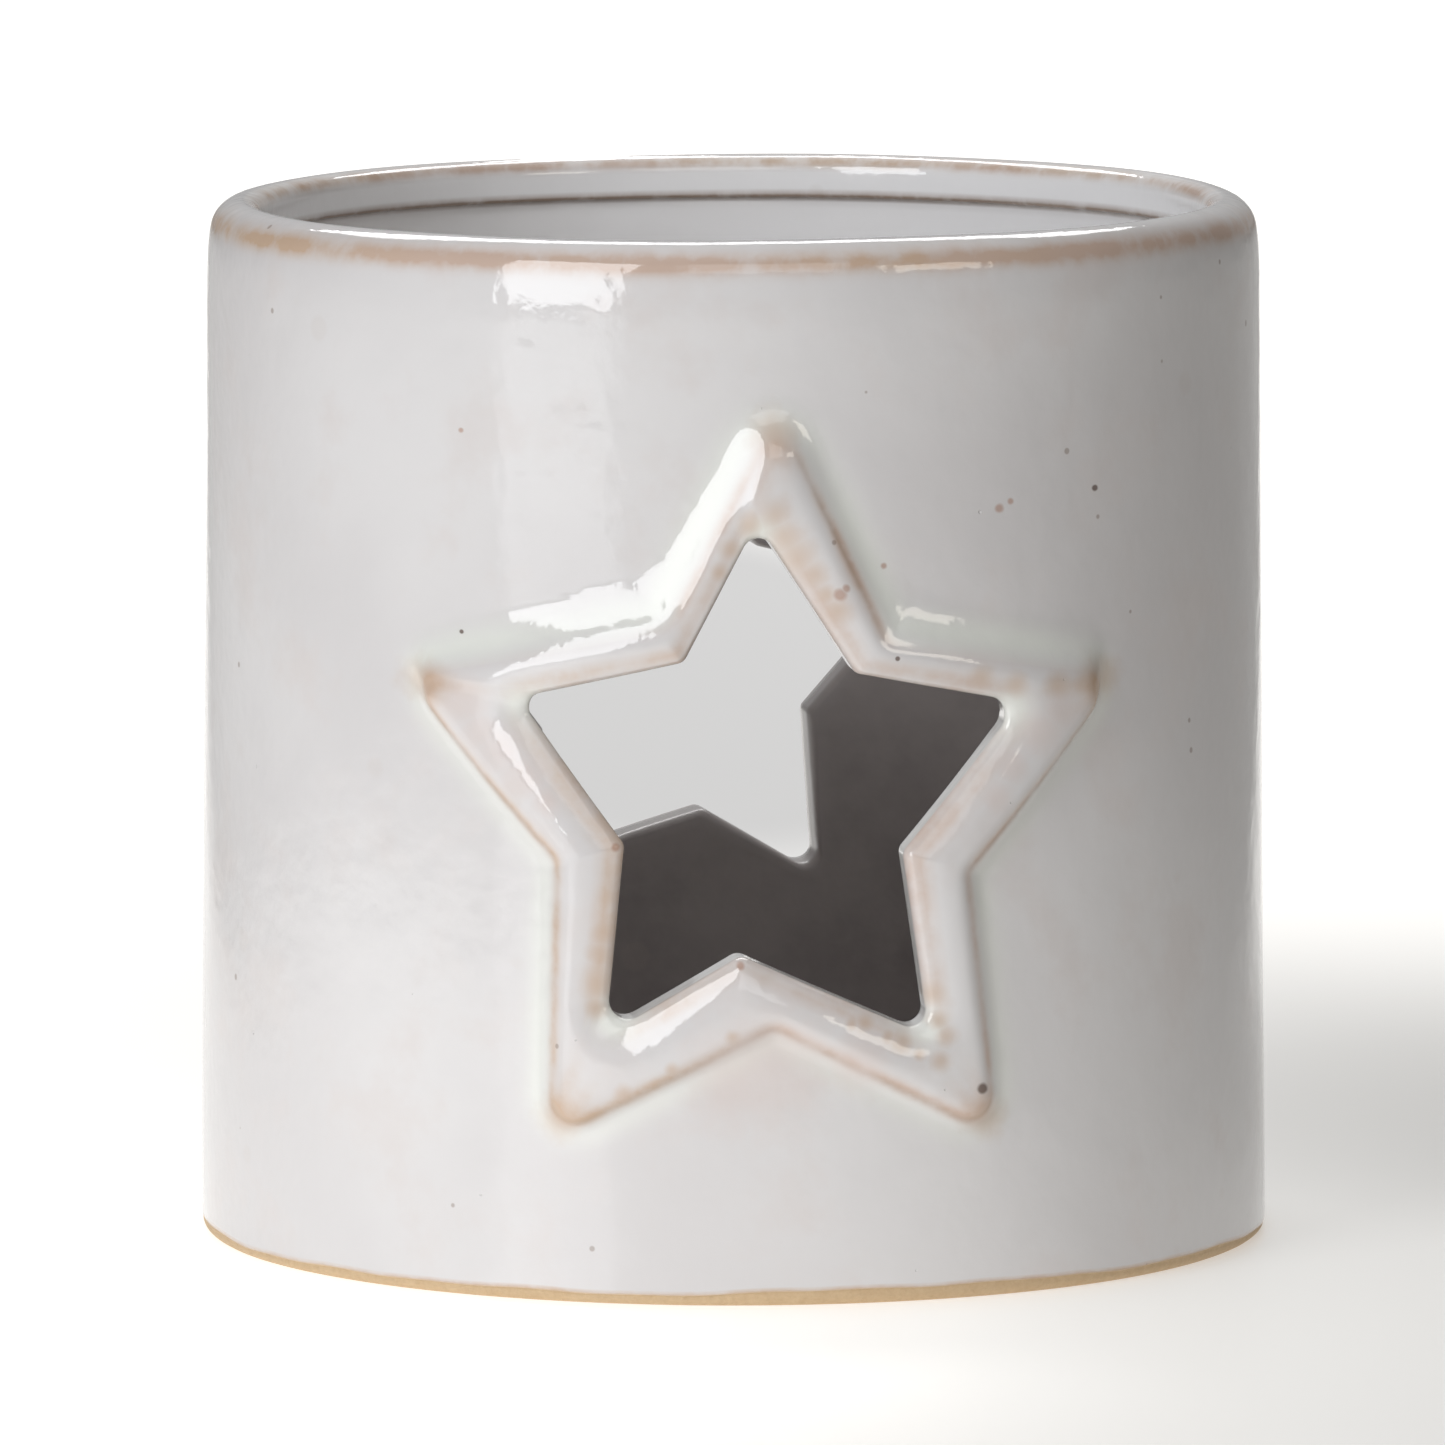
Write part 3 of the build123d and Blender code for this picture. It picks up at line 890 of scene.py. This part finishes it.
def foil_material():
    """Thin drawn aluminium with fine drawing lines."""
    t = Tree("candle_cup_foil")
    cloud = t.noise(160.0, 3.0)
    t.plug(t.shader.inputs["Base Color"], t.mix(cloud, (0.78, 0.78, 0.79, 1), (0.86, 0.86, 0.87, 1)))
    t.shader.inputs["Metallic"].default_value = 1.0
    t.plug(t.shader.inputs["Roughness"], t.step(t.noise(700.0), 0.3, 0.7, 0.22, 0.36))
    t.plug(t.shader.inputs["Normal"], t.bump(t.noise(900.0, 2.0), 0.00003))
    return t.material


def wax_material():
    """White candle wax, faintly cloudy."""
    t = Tree("candle_wax")
    cloud = t.mix(t.noise(140.0), (0.80, 0.785, 0.74, 1), (0.87, 0.86, 0.82, 1))
    t.plug(t.shader.inputs["Base Color"], cloud)
    t.plug(t.shader.inputs["Roughness"], t.step(t.noise(300.0), 0.3, 0.7, 0.38, 0.55))
    t.shader.inputs["Subsurface Weight"].default_value = 0.3
    t.shader.inputs["Subsurface Radius"].default_value = (0.004, 0.003, 0.002)
    t.shader.inputs["Subsurface Scale"].default_value = 1.0
    t.plug(t.shader.inputs["Normal"], t.bump(t.noise(240.0, 4.0), 0.00008))
    return t.material


def wick_material():
    """Waxed cotton braid."""
    t = Tree("candle_wick")
    fibres = t.noise(2600.0, 3.0, 0.7)
    t.plug(t.shader.inputs["Base Color"], t.mix(fibres, (0.62, 0.58, 0.50, 1), (0.84, 0.81, 0.74, 1)))
    t.shader.inputs["Roughness"].default_value = 0.85
    t.plug(t.shader.inputs["Normal"], t.bump(fibres, 0.0002))
    return t.material


def steel_material():
    """Tin-plated sheet steel."""
    t = Tree("sustainer_steel")
    t.plug(t.shader.inputs["Base Color"], t.mix(t.noise(500.0), (0.55, 0.55, 0.56, 1), (0.68, 0.68, 0.69, 1)))
    t.shader.inputs["Metallic"].default_value = 1.0
    t.plug(t.shader.inputs["Roughness"], t.step(t.noise(900.0), 0.3, 0.7, 0.3, 0.42))
    return t.material


def wear(piece, material):
    """Gives a piece one material."""
    piece.data.materials.clear()
    piece.data.materials.append(material)


wear(body, glaze_material())
wear(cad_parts["tealight_cup"], foil_material())
wear(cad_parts["tealight_wax"], wax_material())
wear(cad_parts["tealight_wick"], wick_material())
wear(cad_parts["wick_sustainer"], steel_material())


# ---------------------------------------------------------------- floor, lights and camera

# the camera: degrees round the object, degrees down, level distance and height in metres, a long lens in
# mm, and the small turn that puts the object a little to the side of the picture's middle
CAMERA_TURN = -3.48
CAMERA_DOWN = 7.015
CAMERA_DISTANCE = 1.2157
CAMERA_HEIGHT = 0.1896
CAMERA_LENS = 385.9
CAMERA_ASIDE = 0.04

# the floor: half its width and how far it lies below the foot, in metres
FLOOR_HALF = 4.0
FLOOR_DROP = 0.00002

# the floor's own light: strong round a place at the left, and again behind the object close to the line of
# sight, where it is the picture's white ground, but weaker in a painted shadow, a patch that only the star
# window looks at
FLOOR_GLOW = 0.85
GLOW_PLACE = (-0.13, -0.06, 0.0)
GROUND_GLOW = 0.64
SIGHT_SLOPE = 0.061
SHADOW_PATCH_PLACE = (0.014, 0.365, 0.0)
SHADOW_PATCH_SHAPE = (1.0, 0.24, 1.0)
SHADOW_PATCH_DIMMING = 0.62

# what the main lamps point at
HOLDER_MIDDLE = (0, 0, 0.04)


def round_about(azimuth, distance, height):
    """A point at an angle from the camera's side, in degrees, a level distance and a height in metres."""
    angle = math.radians(CAMERA_TURN + azimuth)
    return Vector((distance * math.sin(angle), -distance * math.cos(angle), height))


def softbox(name, place, target, width, height, power, colour=(1.0, 1.0, 1.0)):
    """A rectangular lamp at a place, pointing at a target."""
    lamp = bpy.data.lights.new(name, "AREA")
    lamp.shape = "RECTANGLE"
    lamp.size = width
    lamp.size_y = height
    lamp.energy = power
    lamp.color = colour
    thing = bpy.data.objects.new(name, lamp)
    thing.location = place
    thing.rotation_euler = (Vector(target) - place).to_track_quat("-Z", "Y").to_euler()
    bpy.context.scene.collection.objects.link(thing)


def studio_floor():
    """A pale seamless floor that glows a little."""
    half = FLOOR_HALF
    mesh = bpy.data.meshes.new("studio_floor")
    corners = [(-half, -half, 0), (half, -half, 0), (half, half, 0), (-half, half, 0)]
    mesh.from_pydata(corners, [], [(0, 1, 2, 3)])
    floor = bpy.data.objects.new("studio_floor", mesh)
    floor.location.z = -FLOOR_DROP
    bpy.context.scene.collection.objects.link(floor)
    floor.data.materials.append(floor_material())


def floor_material():
    """Pale paint with some light of its own."""
    t = Tree("studio_floor")
    plain = t.mix(t.noise(2.0), (0.50, 0.493, 0.478, 1), (0.52, 0.512, 0.497, 1))

    # a painted shadow: the patch that only the star window looks at is darker and rougher
    hidden = t.vector_sum("SUBTRACT", t.place, SHADOW_PATCH_PLACE)
    hidden = t.vector_sum("MULTIPLY", hidden, SHADOW_PATCH_SHAPE)
    hidden = t.vector_sum("LENGTH", hidden, output="Value")
    shade = t.step(hidden, 0.028, 0.05, 1.0, 0.0)
    t.plug(t.shader.inputs["Base Color"], t.mix(shade, plain, (0.37, 0.37, 0.375, 1)))
    t.plug(t.shader.inputs["Roughness"], t.math("MULTIPLY_ADD", shade, 0.25, 0.38))

    # its light fades with distance from the glow's place, and comes back behind the object
    t.shader.inputs["Emission Color"].default_value = (1, 0.985, 0.955, 1)
    away = t.vector_sum("SUBTRACT", t.place, GLOW_PLACE)
    away = t.vector_sum("LENGTH", away, output="Value")
    glow = t.step(away, 0.06, 0.28, FLOOR_GLOW, 0.03)
    axes = t.node("ShaderNodeSeparateXYZ", {0: t.place}).outputs
    aside = t.math("ABSOLUTE", t.math("MULTIPLY_ADD", axes["Y"], -SIGHT_SLOPE, axes["X"]))
    aside = t.math("MULTIPLY_ADD", axes["Y"], -0.03, aside)
    ground = t.step(axes["Y"], 0.02, 0.22, 0.0, GROUND_GLOW)
    ground = t.math("MULTIPLY", ground, t.step(aside, 0.09, 0.17, 1.0, 0.0))
    # the painted shadow also dims the floor's light in that patch
    ground = t.math("MULTIPLY", ground, t.math("MULTIPLY_ADD", shade, -SHADOW_PATCH_DIMMING, 1.0))
    t.plug(t.shader.inputs["Emission Strength"], t.math("ADD", glow, ground))
    return t.material


studio_floor()
softbox(
    "key", round_about(-38.3, 1.5, 0.60), HOLDER_MIDDLE,
    width=0.74, height=1.15, power=13.1, colour=(0.97, 0.98, 1.0),
)
softbox("fill", round_about(6, 1.4, 0.8), HOLDER_MIDDLE, width=0.9, height=0.6, power=2.0)
softbox("backdrop", Vector((0, 0.9, 0.9)), (0, 0.75, 0), width=1.0, height=0.5, power=8)
softbox(
    "warm", round_about(46, 1.3, 0.52), HOLDER_MIDDLE,
    width=0.5, height=0.25, power=1.25, colour=(1.0, 0.93, 0.82),
)

world = bpy.data.worlds.new("studio")
world.use_nodes = True
sky = world.node_tree.nodes


def sky_step(value, start, end, low, high):
    """A soft step of the world's strength along one direction."""
    made = sky.new("ShaderNodeMapRange")
    made.interpolation_type = "SMOOTHSTEP"
    for key, given in {"From Min": start, "From Max": end, "To Min": low, "To Max": high}.items():
        made.inputs[key].default_value = given
    world.node_tree.links.new(value, made.inputs["Value"])
    return made.outputs["Result"]


def sky_sum(operation, a, b):
    """One sum on two of the world's values."""
    made = sky.new("ShaderNodeMath")
    made.operation = operation
    world.node_tree.links.new(a, made.inputs[0])
    world.node_tree.links.new(b, made.inputs[1])
    return made.outputs[0]


# the room is dim but for a wide glow behind the object, weaker at the left, and a bright ceiling
towards = sky.new("ShaderNodeSeparateXYZ")
world.node_tree.links.new(sky.new("ShaderNodeTexCoord").outputs["Generated"], towards.inputs[0])
behind = sky_sum(
    "MULTIPLY",
    sky_step(towards.outputs["Y"], 0.6, 0.97, 0.05, 0.35),
    sky_step(towards.outputs["X"], -0.35, -0.08, 0.6, 1.0),
)
above = sky_step(towards.outputs["Z"], 0.72, 0.96, 0.0, 0.8)
world.node_tree.links.new(sky_sum("ADD", behind, above), sky["Background"].inputs["Strength"])
sky["Background"].inputs["Color"].default_value = (1.0, 1.0, 1.0, 1)
bpy.context.scene.world = world

camera_data = bpy.data.cameras.new("camera")
camera_data.lens = CAMERA_LENS
camera_data.sensor_width = 36.0
camera_data.clip_end = 20.0
camera = bpy.data.objects.new("camera", camera_data)
bpy.context.scene.collection.objects.link(camera)
camera.location = round_about(0, CAMERA_DISTANCE, CAMERA_HEIGHT)
camera.rotation_euler = (math.radians(90 - CAMERA_DOWN), 0, math.radians(CAMERA_TURN + CAMERA_ASIDE))
bpy.context.scene.camera = camera
bpy.context.scene.view_settings.view_transform = "Standard"
